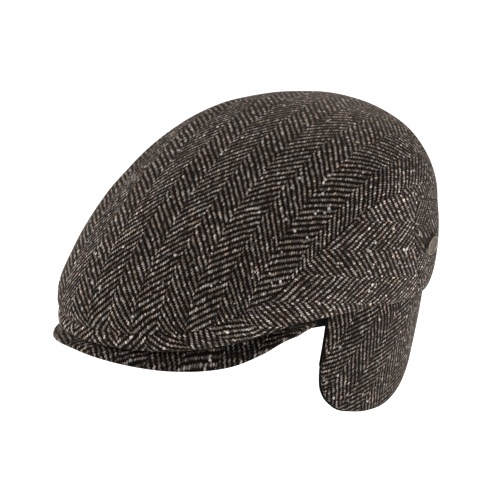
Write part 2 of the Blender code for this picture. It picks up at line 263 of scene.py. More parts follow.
@dataclass(frozen=True)
class CapForm:
    """The cap's sizes, and the curved faces that all of its pieces follow."""

    head_width: float = 0.160
    head_length: float = 0.200
    cloth: float = 0.0018
    lining: float = 0.0010
    band_cloth: float = 0.0012
    gap: float = 0.0003
    crown_height: float = 0.1145
    crown_tilt: float = 0.11
    crown_centre: float = 0.005
    crown_flatness: float = 0.9
    front_rounding: float = 0.138
    back_rounding: float = 0.215
    side_rounding: float = 0.225
    seam_height: float = 0.075
    side_overhang: float = 0.0085
    back_overhang: float = 0.004
    panel_bulge: float = 0.0040
    panel_lowness: float = 0.7
    nape_dip: float = 0.0090
    peak_reach: float = 0.058
    peak_flare: float = 0.0055
    peak_drop: float = 0.0165
    peak_thickness: float = 0.0038
    peak_end_turn: float = 70.5
    peak_curve: float = 1.8
    band_height: float = 0.036
    band_drop: float = 0.0072
    flap_depth: float = 0.0767
    flap_root: float = 0.008
    flap_tuck: float = 0.0135
    flap_tuck_curve: float = 1.2
    flap_forward: float = 0.0060
    flap_start_turn: float = 75.6
    lining_show: float = 0.0008
    lining_lead: float = 0.0016
    lining_corner_share: float = 0.5
    seam_gap: float = 0.00015
    panel_gap_share: float = 0.6
    back_seam_turn: float = 114.5
    back_seam_lean: float = 0.0083
    back_seam_bow: float = 0.0108

    def rim(self) -> Pair:
        """Half width and half length of the crown's lower edge, outside."""
        layers = self.band_cloth + self.lining + 2.0 * self.cloth + 3.0 * self.gap
        return self.head_width / 2.0 + layers, self.head_length / 2.0 + layers

    def degrees(self, distance: float) -> float:
        """Turn that a distance along the crown's lower edge takes next to the ears."""
        return math.degrees(distance / self.rim()[1])

    def panel_outward(self, turns: Array) -> Array:
        """Find the level directions straight out of the side panels.

        Args:
            turns: Turn of each point.

        Returns:
            A level direction in space for each point.
        """
        half_width, half_length = self.rim()
        plan = outward(turns, half_width + self.side_overhang, half_length + 0.5 * self.peak_reach)
        return with_height(plan, 0.0)

    def peak_top(self, turns: Array, share: Array) -> Array:
        """Find points on the upper face of the peak.

        Args:
            turns: Turn of each point.
            share: Place of each point between the peak's root, 0, and its edge, 1.

        Returns:
            Points in space.
        """
        half_width, half_length = self.rim()
        root = oval(turns, half_width, half_length, half_length)
        edge_length = half_length + self.peak_reach
        edge = oval(turns, half_width + self.peak_flare, edge_length, edge_length)
        share = np.clip(share, 0.0, 1.0)
        plan = root + (edge - root) * share[..., None]
        drop = PEAK_TABLE.at("drop", turns) * self.peak_drop
        return with_height(plan, -self.gap - drop * share**self.peak_curve)

    def crown_edge(self, turns: Array) -> Array:
        """Find the outer lower edge of the crown, which rests just over the peak in front.

        Args:
            turns: Turn of each point.

        Returns:
            Points in space.
        """
        reach = EDGE_TABLE.at("reach", turns)
        dip = EDGE_TABLE.at("dip", turns) * self.nape_dip
        points = self.peak_top(turns, reach)
        points[..., 2] += 2.0 * self.gap + 0.5 * self.cloth - dip
        return points

    def seam(self, turns: Array) -> Array:
        """Find the seam round the top panel.

        Args:
            turns: Turn of each point.

        Returns:
            Points in space.
        """
        half_width, half_length = self.rim()
        forward = SEAM_TABLE.at("forward", turns) * self.peak_reach
        plan = oval(
            turns,
            half_width + self.side_overhang,
            half_length + forward,
            half_length + self.back_overhang,
        )
        return with_height(plan, SEAM_TABLE.at("height", turns) * self.seam_height)

    def side_face(self, turns: Array, heights: Array) -> Array:
        """Points on the outer face of the side and back panels.

        Args:
            turns: Turn of each point.
            heights: Share of the way up from the lower edge to the seam, for each point.

        Returns:
            Points in the shape that the turns and heights have together.
        """
        low = self.crown_edge(turns)
        high = self.seam(turns)
        high[..., 2] -= self.seam_gap
        bulge = SEAM_TABLE.at("bulge", turns) * self.panel_bulge
        heights = np.asarray(heights, float)[..., None]
        fullness = heights**self.panel_lowness
        swell = self.panel_outward(turns) * bulge[..., None]
        return low + (high - low) * heights + 4.0 * fullness * (1.0 - fullness) * swell

    def panel_gap(self) -> float:
        """Half of the gap between two neighbouring panels, as a turn in degrees."""
        return math.degrees(self.panel_gap_share * self.gap / self.rim()[0])

    def back_seam(self, heights: Array) -> Array:
        """Find the left seam between the side and back panels.

        Args:
            heights: Shares of the panels' height.

        Returns:
            Turn of the seam at each height.
        """
        lean = self.degrees(self.back_seam_lean) * (1.0 - heights)
        bow = self.degrees(self.back_seam_bow) * BOW_SCALE * heights**2 * (1.0 - heights)
        return self.back_seam_turn + lean - bow

    def panel_reach(self, turns: Array) -> Array:
        """Measure how far round the panels places are, at half the panels' height.

        Args:
            turns: Turn of each place.

        Returns:
            Distance of each place from the middle of the front.
        """
        # Four steps a degree.
        steps = np.linspace(0.0, 360.0, 4 * 360 + 1)
        travelled = along(self.side_face(steps, 0.5)[None], 1)[0]
        return np.interp(turns, steps, travelled)

    def top_face(self, turns: Array, shares: Array) -> Array:
        """Find the outer face of the top panel.

        Args:
            turns: Turn of each column.
            shares: Place of each row between the panel's middle, 0, and its seam, 1.

        Returns:
            Points in rows and columns.
        """
        upward = np.array([0.0, 0.0, 1.0])
        low = self.seam(turns)
        low[..., 2] += self.seam_gap
        middle = np.array([0.0, self.crown_centre, self.crown_height])
        rise = (middle - low)[:, 2:3]
        span = (low - middle) * np.array([1.0, 1.0, 0.0])
        length = np.linalg.norm(span, axis=1, keepdims=True)
        direction = span / length
        puff = TOP_TABLE.at("puff", turns)[:, None]
        steep = TOP_TABLE.at("steep", turns)[:, None]
        end = low + span * puff + upward * rise * steep
        slope = direction[:, 1:2] * self.crown_tilt
        fall = self.crown_height + slope * length * (1.0 + puff) - end[:, 2:3]
        rounding = np.where(direction[:, 1:2] < 0.0, self.front_rounding, self.back_rounding)
        bend = direction[:, 0:1] ** 2 / self.side_rounding + direction[:, 1:2] ** 2 / rounding
        level = np.minimum(np.sqrt(2.0 * fall / (3.0 * bend)), self.crown_flatness * length)
        start = middle + (direction + upward * slope) * level
        share = np.asarray(shares, float)[:, None, None]
        rest = 1.0 - share
        curve = rest**3 * middle + 3.0 * rest**2 * share * start
        return curve + 3.0 * rest * share**2 * end + share**3 * low

    def layer(self, turns: Array, distance: float, inset: Array | float = 0.0) -> Array:
        """Find the level points of a layer round the head.

        Args:
            turns: Turn of each point.
            distance: How far outside the head the layer lies.
            inset: How far each point is moved in again.

        Returns:
            Level points.
        """
        half_width = self.head_width / 2.0 + distance
        half_length = self.head_length / 2.0 + distance
        inward = outward(turns, self.head_width / 2.0, self.head_length / 2.0)
        plan = oval(turns, half_width, half_length, half_length)
        return plan - inward * np.asarray(inset, float)[..., None]

    def flap_face(self, turns: Array, distance: float, extra: float, shares: Array, lead: float) -> Array:
        """Rows of one face of the flap, from its root inside the crown to its lower edge.

        Args:
            turns: Turn of each column.
            distance: How far outside the head the face lies.
            extra: How much deeper it hangs than the tweed.
            shares: Place of each row below the root, from 0 to 1.
            lead: How far its front corners are ahead of the tweed's, in degrees.

        Returns:
            Points in rows and columns.
        """
        depth = FLAP_TABLE.at("depth", turns + lead * np.sign(180.0 - turns)) * self.flap_depth + extra
        free = self.band_drop + self.gap
        rows = [with_height(self.layer(turns, distance), self.flap_root)]
        for share in shares:
            hang = free + (depth - free) * share
            rows.append(with_height(self.flap_plan(turns, distance, hang), -hang))
        return np.stack(rows)

    def flap_plan(self, turns: Array, distance: float, hang: Array | float) -> Array:
        """Find the level points of one face of the flap.

        Args:
            turns: Turn of each column.
            distance: How far outside the head the face lies.
            hang: Depth of each point below the crown's lower edge.

        Returns:
            Level points, swung forward and tucked in below the band.
        """
        below = np.maximum(hang - self.band_drop - self.gap, 0.0) / self.flap_depth
        # The swing is full at the ears and none at the nape.
        swing = self.degrees(self.flap_forward) * (1.0 - turns / 180.0) * 2.0
        return self.layer(turns - swing * below, distance, self.flap_tuck * below**self.flap_tuck_curve)


class Edge(Enum):
    """How an edge of a cloth piece is finished."""

    OPEN = "joined to itself or out of sight"
    FOLD = "folded round on itself"
    SEAM = "turned in and sewn to the next piece"


@dataclass(frozen=True)
class EdgeShape:
    """Sizes of the rounding where a cloth piece ends.

    Attributes:
        seam_radius: Rounding where the cloth turns in at a seam.
        allowance: How far the turned-in cloth reaches inside.
        allowance_cloth: Thickness of the turned-in cloth.
        fold_share: Radius of a fold as a share of the piece's thickness.
        level: Distances from a seam between which level normals turn into the face's own.
        room: Least length of a column, in last steps, before its fine rows draw together.
        steps: Distances from an edge at which the fine rows lie.
    """

    seam_radius: float = 0.00045
    allowance: float = 0.0020
    allowance_cloth: float = 0.0013
    fold_share: float = 0.48
    level: Pair = (0.002, 0.006)
    room: float = 2.4
    steps: tuple[float, ...] = (0.0, 4e-5, 1.5e-4, 3e-4, 6e-4, 1.29e-3, 1.31e-3, 1.8e-3, 2.6e-3)

    def outer_depth(self, edge: Edge, distance: Array, thickness: float) -> Array:
        """Find how far the outer face is rounded in next to an edge.

        Args:
            edge: Finish of the edge.
            distance: Distance of each point from it.
            thickness: Thickness of the cloth.

        Returns:
            Depth at each point.
        """
        if edge is Edge.OPEN:
            return np.zeros_like(distance)
        radius = self.seam_radius if edge is Edge.SEAM else self.fold_share * thickness
        short = np.clip(radius - distance, 0.0, radius)
        return radius - np.sqrt(radius * radius - short * short)

    def wrap(self, distance: Array, thickness: float) -> Array:
        """Find how much further than the plain distance the cloth runs round a fold.

        Args:
            distance: Distance of each point from the edge.
            thickness: Thickness of the cloth.

        Returns:
            Extra length at each point.
        """
        radius = self.fold_share * thickness
        short = np.clip(radius - distance, 0.0, radius)
        return radius * np.arcsin(short / radius) - short

    def inner_depth(self, edge: Edge, distance: Array, thickness: float) -> Array:
        """Find how far the inner face lies beyond the cloth's thickness next to an edge.

        Args:
            edge: Finish of the edge.
            distance: Distance of each point from it.
            thickness: Thickness of the cloth.

        Returns:
            Depth at each point, below zero where the edge is folded.
        """
        if edge is Edge.SEAM:
            return np.where(distance < self.allowance_cloth, self.allowance, 0.0)
        return -self.outer_depth(edge, distance, thickness)


@dataclass
class ClothWall:
    """A closed wall of cloth between an outer face and the face behind it.

    The dense points are the outer face before its rows are spaced out. The last column of
    a ring joins the first, and the first row of a pole is one point. Next to a seam, the
    normals turn to the level directions where these are given.
    """

    name: str
    dense: Array
    thickness: float
    top: Edge = Edge.OPEN
    bottom: Edge = Edge.OPEN
    ends: Edge = Edge.OPEN
    rows: int = 60
    ring: bool = False
    pole: bool = False
    level_at_seams: Array | None = None
    shape: EdgeShape = EdgeShape()

    def __post_init__(self) -> None:
        """Space the rows out, closer together next to a finished edge."""
        self.travelled = along(self.dense, 0)
        self.from_top = self.row_places(self.travelled[-1])
        self.from_bottom = self.travelled[-1] - self.from_top
        self.face = np.stack([self.spread(self.dense[..., axis]) for axis in range(3)], axis=-1)
        self.from_start = along(self.face, 1)
        self.from_end = self.from_start[:, -1:] - self.from_start

    def spread(self, values: Array) -> Array:
        """Read values of the dense grid at the wall's own rows.

        Args:
            values: A value for each point of the dense grid.

        Returns:
            A value for each point of the wall.
        """
        values = np.broadcast_to(values, self.travelled.shape)
        columns = zip(self.from_top.T, self.travelled.T, values.T)
        return np.stack([np.interp(spots, way, column) for spots, way, column in columns], axis=1)

    def row_places(self, lengths: Array) -> Array:
        """Find the distance of each row down each column.

        Args:
            lengths: Length of each column.

        Returns:
            Distances in rows and columns.
        """
        steps = np.array(self.shape.steps)[:, None]
        near = steps * np.minimum(1.0, lengths / (self.shape.room * steps[-1]))
        none = np.zeros((1, len(lengths)))
        start = none if self.top is Edge.OPEN else near
        end = lengths - (none if self.bottom is Edge.OPEN else near)[::-1]
        share = np.linspace(0.0, 1.0, self.rows + 2)[1:-1, None]
        return np.concatenate([start, start[-1] + (end[0] - start[-1]) * share, end])

    def normals(self) -> Array:
        """Find the directions out of the outer face.

        Returns:
            Unit directions, level where the face meets a seam.
        """
        if self.ring:
            wide = np.concatenate([self.face[:, -1:], self.face, self.face[:, :1]], axis=1)
            across = wide[:, 2:] - wide[:, :-2]
        else:
            across = np.gradient(self.face, axis=1)
        normals = np.cross(across, np.gradient(self.face, axis=0))
        normals /= np.linalg.norm(normals, axis=-1, keepdims=True) + TINY
        inward = np.sum(normals * self.face, axis=-1, keepdims=True) < 0.0
        normals = np.where(inward, -normals, normals)
        if self.pole:
            normals[0] = normals[1].mean(axis=0)
        if self.level_at_seams is not None:
            near = self.from_bottom if self.bottom is Edge.SEAM else self.from_top
            level = 1.0 - blend_at(near, *self.shape.level)[..., None]
            normals = normals * (1.0 - level) + self.level_at_seams * level
        return normals / np.linalg.norm(normals, axis=-1, keepdims=True)

    def faces_in_space(self, relief: Array | float) -> tuple[Array, Array]:
        """Find the points of both faces.

        Args:
            relief: How far the cloth stands out of its plain form at each point.

        Returns:
            The outer and the inner grid of points.
        """
        edges = (
            (self.top, self.from_top),
            (self.bottom, self.from_bottom),
            (self.ends, self.from_start),
            (self.ends, self.from_end),
        )
        outer = np.zeros_like(self.from_top)
        fold = np.zeros_like(outer)
        allowance = np.zeros_like(outer)
        for edge, distance in edges:
            if edge is Edge.OPEN:
                continue
            outer = np.maximum(outer, self.shape.outer_depth(edge, distance, self.thickness))
            inner = self.shape.inner_depth(edge, distance, self.thickness)
            fold = np.minimum(fold, inner)
            allowance = np.maximum(allowance, inner)
        normals = self.normals()
        behind = self.thickness + fold + allowance
        front = self.face + normals * (relief - outer)[..., None]
        back = self.face + normals * (relief - behind)[..., None]
        return front, back

    def hang(self) -> Array:
        """Height of each point, with the cloth that runs round the lower fold laid straight."""
        return self.face[..., 2] - self.shape.wrap(self.from_bottom, self.thickness)

    def build(self, weave: Array, relief: Array | float = 0.0) -> bpy.types.Object:
        """Make the piece as one closed mesh.

        Args:
            weave: Place of each point of the outer face in the cloth, in column widths. A
                ring has one column more than the face.
            relief: How far the cloth stands out of its plain form at each point.

        Returns:
            The new object.
        """
        front, back = self.faces_in_space(relief)
        return closed_mesh(self.name, front, back, weave, self.ring, self.pole)


def quads(index: Array) -> Array:
    """Corners of the four-sided faces between neighbouring rows and columns."""
    corners = (index[:-1, :-1], index[:-1, 1:], index[1:, 1:], index[1:, :-1])
    return np.stack(corners, axis=-1).reshape(-1, 4)


def closed_mesh(
    name: str, front: Array, back: Array, weave: Array, ring: bool, pole: bool
) -> bpy.types.Object:
    """Make a closed mesh between two grids of points.

    Args:
        name: Name of the object.
        front: Points of the outer face.
        back: Points of the inner face.
        weave: Place of each point in the cloth; a ring has one column more than the points.
        ring: Whether the last column joins the first.
        pole: Whether the first row is one point.

    Returns:
        The new object, smooth shaded, with its place in the cloth as a UV map.
    """
    rows, columns = front.shape[:2]
    count = rows * columns
    index = np.arange(count).reshape(rows, columns)
    if ring:
        index = closed_ring(index)
    place = np.arange(weave.shape[0] * weave.shape[1]).reshape(weave.shape[:2])
    through = np.array([[0], [count]])
    pairs = [
        (index, place),
        ((index + count)[:, ::-1], place[:, ::-1]),
        (index[-1] + through, place[[-1, -1]]),
    ]
    if not pole:
        pairs.append((index[0] + through[::-1], place[[0, 0]]))
    if not ring:
        pairs.append((index[:, 0] + through, place.T[[0, 0]]))
        pairs.append((index[:, -1] + through[::-1], place.T[[-1, -1]]))
    faces = np.concatenate([quads(points) for points, _ in pairs])
    spots = np.concatenate([quads(places) for _, places in pairs])
    if pole:
        faces[faces < columns] = 0
        faces[(faces >= count) & (faces < count + columns)] = count
    points = np.concatenate([front.reshape(-1, 3), back.reshape(-1, 3)])
    corners = points[faces]
    turned = np.cross(corners[:, 2] - corners[:, 0], corners[:, 3] - corners[:, 1])
    if np.sum(turned * corners.mean(axis=1)) < 0.0:
        faces, spots = faces[:, ::-1], spots[:, ::-1]
    return mesh_object(name, points, faces, weave.reshape(-1, 2)[spots])


def mesh_object(name: str, points: Array, faces: Array, places: Array) -> bpy.types.Object:
    """Make an object from points, four-sided faces and the UV place of each face's corners.

    Args:
        name: Name of the object.
        points: Points in space.
        faces: Numbers of each face's four points; a repeated point makes a triangle.
        places: UV place of each corner of each face.

    Returns:
        The new object.
    """
    distinct = faces != np.roll(faces, 1, axis=1)
    whole = distinct.sum(axis=1) >= 3
    kept = distinct & whole[:, None]
    used, numbers = np.unique(faces[kept], return_inverse=True)
    ends = np.cumsum(distinct[whole].sum(axis=1))
    listed = [face.tolist() for face in np.split(numbers, ends[:-1])]
    mesh = bpy.data.meshes.new(name)
    mesh.from_pydata(points[used].tolist(), [], listed)
    layer = mesh.uv_layers.new(name=WEAVE_MAP)
    layer.uv.foreach_set("vector", places[kept].astype(np.float32).ravel())
    mesh.polygons.foreach_set("use_smooth", np.ones(len(mesh.polygons), bool))
    mesh.update()
    made = bpy.data.objects.new(name, mesh)
    bpy.context.scene.collection.objects.link(made)
    return made


def operator_method(operation: str, reflected: bool = False) -> Callable[["Wire", "Value"], "Wire"]:
    """Make the method behind one of a wire's operators.

    Args:
        operation: The Math node's operation.
        reflected: Whether the wire stands on the operator's right.

    Returns:
        The method.
    """

    def method(wire: "Wire", other: "Value") -> "Wire":
        """Work the operation out with another value."""
        first, second = (other, wire) if reflected else (wire, other)
        return wire.graph.math(operation, first, second)

    return method


class Wire:
    """A number, colour or vector on its way through a shader."""

    def __init__(self, graph: "Graph", socket: bpy.types.NodeSocket) -> None:
        """Hold the socket that gives the value."""
        self.graph = graph
        self.socket = socket

    __add__ = operator_method("ADD")
    __radd__ = operator_method("ADD", reflected=True)
    __sub__ = operator_method("SUBTRACT")
    __rsub__ = operator_method("SUBTRACT", reflected=True)
    __mul__ = operator_method("MULTIPLY")
    __rmul__ = operator_method("MULTIPLY", reflected=True)
    __truediv__ = operator_method("DIVIDE")
    __rtruediv__ = operator_method("DIVIDE", reflected=True)

    def __abs__(self) -> "Wire":
        """Drop the sign."""
        return self.graph.math("ABSOLUTE", self)


Value = Wire | float | Sequence[float]


class Graph:
    """The node tree of one material, with a Principled shader at its end."""

    def __init__(self, name: str) -> None:
        """Start a material.

        Args:
            name: Name of the material.
        """
        self.material = bpy.data.materials.new(name)
        self.material.use_nodes = True
        self.tree = self.material.node_tree
        self.shader = self.tree.nodes["Principled BSDF"]

    def node(
        self,
        kind: str,
        settings: dict[str, object] | None = None,
        sockets: dict[str | int, Value] | None = None,
    ) -> bpy.types.Node:
        """Add a node.

        Args:
            kind: Blender's type name of the node.
            settings: Its settings, which are made first.
            sockets: Values or links of its inputs, by name or number.

        Returns:
            The new node.
        """
        made = self.tree.nodes.new(kind)
        for name, value in (settings or {}).items():
            setattr(made, name, value)
        for key, value in (sockets or {}).items():
            self.feed(made.inputs[key], value)
        return made

    def wire(
        self,
        kind: str,
        settings: dict[str, object] | None = None,
        sockets: dict[str | int, Value] | None = None,
        output: str | int = 0,
    ) -> Wire:
        """Add a node and take one of its outputs, by name or number."""
        return Wire(self, self.node(kind, settings, sockets).outputs[output])

    def feed(self, socket: bpy.types.NodeSocket, value: Value) -> None:
        """Give a socket a link or a value.

        Args:
            socket: The socket to feed.
            value: What it gets; a colour without its alpha gets 1 for it.
        """
        if isinstance(value, Wire):
            self.tree.links.new(value.socket, socket)
        elif isinstance(value, (int, float)):
            socket.default_value = value
        else:
            short = len(socket.default_value) - len(value)
            socket.default_value = (*value, *([1.0] * short))

    def math(self, operation: str, *values: Value) -> Wire:
        """Work out numbers with one Math node."""
        return self.wire("ShaderNodeMath", {"operation": operation}, dict(enumerate(values)))

    def vector(self, operation: str, *values: Value) -> Wire:
        """Work out vectors with one Vector Math node."""
        return self.wire("ShaderNodeVectorMath", {"operation": operation}, dict(enumerate(values)))

    def floor(self, value: Value) -> Wire:
        """The whole number below a value."""
        return self.math("FLOOR", value)

    def smooth(self, value: Value, low: float, high: float) -> Wire:
        """A smooth step from 0 at the low value to 1 at the high value."""
        sockets = {"Value": value, "From Min": low, "From Max": high}
        return self.wire("ShaderNodeMapRange", {"interpolation_type": "SMOOTHSTEP"}, sockets, "Result")

    def between(self, share: Wire, ends: Pair) -> Wire:
        """The number at a share of the way from the first end to the second."""
        return ends[0] + share * (ends[1] - ends[0])

    def rounded(self, off: Wire) -> Wire:
        """Height of a round thread off its middle: 1 in the middle, 0 half a width away."""
        return 1.0 - off * off * 4.0

    def blend(self, factor: Value, first: Value, second: Value) -> Wire:
        """Mix two colours."""
        sockets = {MIX_FACTOR: factor, MIX_FIRST: first, MIX_SECOND: second}
        return self.wire("ShaderNodeMix", {"data_type": "RGBA"}, sockets, MIX_RESULT)

    def scaled(self, colour: Value, amount: Value) -> Wire:
        """A colour made brighter or darker by a number."""
        return self.wire("ShaderNodeVectorMath", {"operation": "SCALE"}, {0: colour, "Scale": amount})

    def parts(self, vector: Wire) -> tuple[Wire, Wire, Wire]:
        """The three numbers of a vector or colour."""
        made = self.node("ShaderNodeSeparateXYZ", sockets={0: vector})
        return tuple(Wire(self, output) for output in made.outputs)

    def joined(self, x: Value, y: Value) -> Wire:
        """A level vector from two numbers."""
        return self.wire("ShaderNodeCombineXYZ", sockets={0: x, 1: y, 2: 0.0})

    def cloth_place(self) -> Wire:
        """Place in the cloth, in column widths."""
        return self.wire("ShaderNodeUVMap", {"uv_map": WEAVE_MAP}, output="UV")

    def body_place(self) -> Wire:
        """Place on the object, in metres."""
        return self.wire("ShaderNodeTexCoord", output="Object")

    def noise(self, place: Value, scale: float, detail: float, flat: bool = False) -> Wire:
        """Make soft random colour, a different one in each channel.

        Args:
            place: Place over which it changes.
            scale: Lumps for a unit of that place.
            detail: Layers of finer lumps.
            flat: Whether only the first two numbers of the place count.

        Returns:
            The colour.
        """
        settings = {"noise_dimensions": "2D" if flat else "3D"}
        sockets = {"Vector": place, "Scale": scale, "Detail": detail}
        return self.wire("ShaderNodeTexNoise", settings, sockets, "Color")

    def lots(self, place: Value) -> Wire:
        """Hard random colour for each whole place."""
        settings = {"noise_dimensions": "2D"}
        return self.wire("ShaderNodeTexWhiteNoise", settings, {"Vector": place}, "Color")

    def bump(self, height: Wire, distance: float, strength: float) -> None:
        """Let a height move the light on the surface.

        Args:
            height: The height, as a share of the distance.
            distance: The distance in metres that a height of 1 stands for.
            strength: How strongly it moves the light.
        """
        sockets = {"Height": height, "Distance": distance, "Strength": strength}
        normal = self.wire("ShaderNodeBump", sockets=sockets, output="Normal")
        self.feed(self.shader.inputs["Normal"], normal)

    def finish(self, **sockets: Value) -> bpy.types.Material:
        """Feed the shader's own sockets, named with underscores for spaces.

        Args:
            **sockets: Values or links of the Principled shader.

        Returns:
            The finished material.
        """
        for name, value in sockets.items():
            self.feed(self.shader.inputs[name.replace("_", " ")], value)
        return self.material


@dataclass(frozen=True)
class Tweed:
    """Herringbone tweed: light yarns over dark ones in two and two twill.

    Yarns and places for a knot of wool are counted in one column width, picks in one repeat
    of the twill, fibres and clouds in a metre. A range, an end, an edge or lots are where a
    change starts and ends: off the middle of a run or a yarn, or in the noise or lots that
    drive it. A tone is the factor on the colour at the two ends of a change. Each wander is
    the scale and the amount of a noise that moves the yarns.
    """

    yarns: int = 15
    repeat: float = 4.0
    grey: Colour = (0.168, 0.151, 0.142)
    brown: Colour = (0.194, 0.152, 0.127)
    dark: Colour = (0.0060, 0.0031, 0.0016)
    cream: Colour = (0.70, 0.64, 0.58)
    pale: Colour = (0.40, 0.358, 0.332)
    rust: Colour = (0.25, 0.15, 0.09)
    depth: float = 0.0004
    bump_strength: float = 0.9
    run_shift: float = 0.06
    run_shortness: Pair = (0.86, 1.16)
    run_end: Pair = (0.13, 0.25)
    run_tone: Pair = (0.42, 1.90)
    yarn_thinning: float = 0.14
    # Painted shade: a light yarn's colour is darker towards its edges, where a round yarn turns from the
    # light.
    yarn_edge: Pair = (0.42, 0.70)
    painted_yarn_shade: Pair = (0.60, 1.12)
    slub_step: Pair = (3.7, 0.22)
    slub_range: Pair = (0.30, 0.70)
    slub_tone: Pair = (0.30, 1.70)
    hue_scale: float = 2.2
    warmth_spread: float = 0.06
    brown_range: Pair = (0.42, 0.66)
    pale_lots: Pair = (0.93, 1.0)
    pale_share: float = 0.85
    rust_lots: Pair = (0.985, 0.995)
    rust_share: float = 0.6
    fibre_tone: Pair = (0.45, 1.55)
    dark_tone: Pair = (0.4, 1.8)
    hair_tone: Pair = (0.35, 1.65)
    cloud_tone: Pair = (0.62, 1.38)
    light_height: Pair = (0.35, 1.0)
    dark_height: float = 0.45
    fibre_height: float = 0.45
    nep_height: float = 0.5
    wander: tuple[Pair, ...] = ((7.0, 0.036), (2.4, 0.050), (0.9, 0.080))
    fibre_scale: float = 1300.0
    cloud_scale: float = 60.0
    nep_scale: float = 4.0
    nep_radius: float = 0.10
    nep_softness: float = 1.8
    nep_share: float = 0.13
    nep_fade: float = 0.06
    # Painted light and shade: each piece gets its own copy of the cloth, brighter where the lamps light it and
    # darker where it lies in shade.
    painted_light_scale: float = 1.0

    def material(self, name: str) -> bpy.types.Material:
        """Make the cloth's material.

        Args:
            name: Name of the material.

        Returns:
            The new material.
        """
        graph = Graph(name)
        place = self.uneven_place(graph)
        u, v, _ = graph.parts(place)
        # The twill steps one way in even columns and the other way, half a repeat on, in odd ones.
        column = graph.floor(u)
        across = (u - column) * self.yarns
        yarn = graph.floor(across)
        odd = (column / 2.0 - graph.floor(column / 2.0)) * 2.0
        step = yarn + odd * ((self.yarns - 1.0) - yarn * 2.0)
        picks = v * self.yarns
        run = (picks + step) / self.repeat + odd * 0.5
        repeat = graph.floor(run)
        off_yarn = abs(across - yarn - 0.5)
        off_pick = abs(picks - graph.floor(picks) - 0.5)
        # Every visible run of a light yarn has lots of its own for its length, width and colour.
        yarn_number = column * self.yarns + yarn
        run_place = graph.joined(yarn_number, repeat)
        chance, fleck, warm = graph.parts(graph.lots(run_place))
        early, long, thin = graph.parts(graph.lots(graph.vector("ADD", run_place, OTHER_LOTS)))
        from_middle = abs(run - repeat - 0.5 + (early - 0.5) * self.run_shift)
        shortness = graph.between(long, self.run_shortness)
        over = 1.0 - graph.smooth(from_middle * shortness, *self.run_end)
        over = over * (1.0 - graph.smooth(off_yarn + thin * self.yarn_thinning, *self.yarn_edge))
        yarn_round = graph.rounded(off_yarn)
        pick_round = graph.rounded(off_pick)
        yarn_step, pick_step = self.slub_step
        slub_place = graph.joined(yarn_number * yarn_step, picks * pick_step)
        slub, tone, _ = graph.parts(graph.noise(slub_place, scale=1.0, detail=2.0, flat=True))
        hue, _, _ = graph.parts(graph.noise(place, self.hue_scale, detail=3.0, flat=True))
        fibre, hair, _ = graph.parts(graph.noise(graph.body_place(), self.fibre_scale, detail=2.0))
        cloud, _, _ = graph.parts(graph.noise(graph.body_place(), self.cloud_scale, detail=4.0))
        # Light runs over dark yarns, with pale and rusty runs and knots of wool among them.
        tone_and_painted_shade = graph.between(graph.smooth(slub, *self.slub_range), self.slub_tone)
        tone_and_painted_shade = tone_and_painted_shade * graph.between(chance * chance, self.run_tone)
        tone_and_painted_shade = tone_and_painted_shade * graph.between(fibre, self.fibre_tone)
        # The yarn factor is painted shade across each round yarn; the others are the cloth's own tone.
        tone_and_painted_shade = tone_and_painted_shade * graph.between(yarn_round, self.painted_yarn_shade)
        brownness = graph.smooth(hue + warm * self.warmth_spread, *self.brown_range)
        light = graph.scaled(graph.blend(brownness, self.grey, self.brown), tone_and_painted_shade)
        light = graph.blend(graph.smooth(fleck, *self.pale_lots) * self.pale_share, light, self.pale)
        light = graph.blend(graph.smooth(warm, *self.rust_lots) * self.rust_share, light, self.rust)
        dark_shade = graph.between(tone, self.dark_tone) * graph.between(hair, self.hair_tone)
        colour = graph.blend(over, graph.scaled(self.dark, dark_shade), light)
        nep, bright = self.neps(graph, place)
        colour = graph.blend(nep, colour, graph.blend(bright, self.pale, self.cream))
        # The cloud is random tone of the cloth; the piece's factor is painted light and shade.
        colour = graph.scaled(colour, graph.between(cloud, self.cloud_tone) * self.painted_light_scale)
        height = over * graph.between(yarn_round, self.light_height)
        height = height + (1.0 - over) * pick_round * self.dark_height
        height = height + fibre * self.fibre_height + nep * self.nep_height
        graph.bump(height, self.depth, self.bump_strength)
        return graph.finish(
            Base_Color=colour,
            Roughness=0.95,
            Specular_IOR_Level=0.06,
            Sheen_Weight=0.17,
            Sheen_Roughness=0.32,
            Sheen_Tint=(0.86, 0.68, 0.55),
        )

    def neps(self, graph: Graph, place: Wire) -> tuple[Wire, Wire]:
        """Strew small knots of pale wool over the cloth.

        Args:
            graph: The material's nodes.
            place: Place in the cloth.

        Returns:
            Where the knots are, from 0 to 1, and how bright they are.
        """
        sockets = {"Vector": place, "Scale": self.nep_scale}
        spots = graph.node("ShaderNodeTexVoronoi", {"voronoi_dimensions": "2D"}, sockets)
        chance, bright, size = graph.parts(Wire(graph, spots.outputs["Color"]))
        distance = Wire(graph, spots.outputs["Distance"])
        outer = self.nep_radius * self.nep_softness
        near = 1.0 - graph.smooth(distance / (0.5 + size), self.nep_radius, outer)
        first = 1.0 - self.nep_share
        shown = graph.smooth(chance, first, first + self.nep_fade)
        return near * shown, bright * bright

    def uneven_place(self, graph: Graph) -> Wire:
        """Find the place in the cloth, with the small wander of a hand-woven yarn.

        Args:
            graph: The material's nodes.

        Returns:
            The place in column widths.
        """
        place = graph.cloth_place()
        for scale, amount in self.wander:
            drift = graph.vector("SUBTRACT", graph.noise(place, scale, detail=1.0, flat=True), (0.5, 0.5, 0.5))
            place = graph.vector("ADD", place, graph.scaled(drift, amount))
        return place


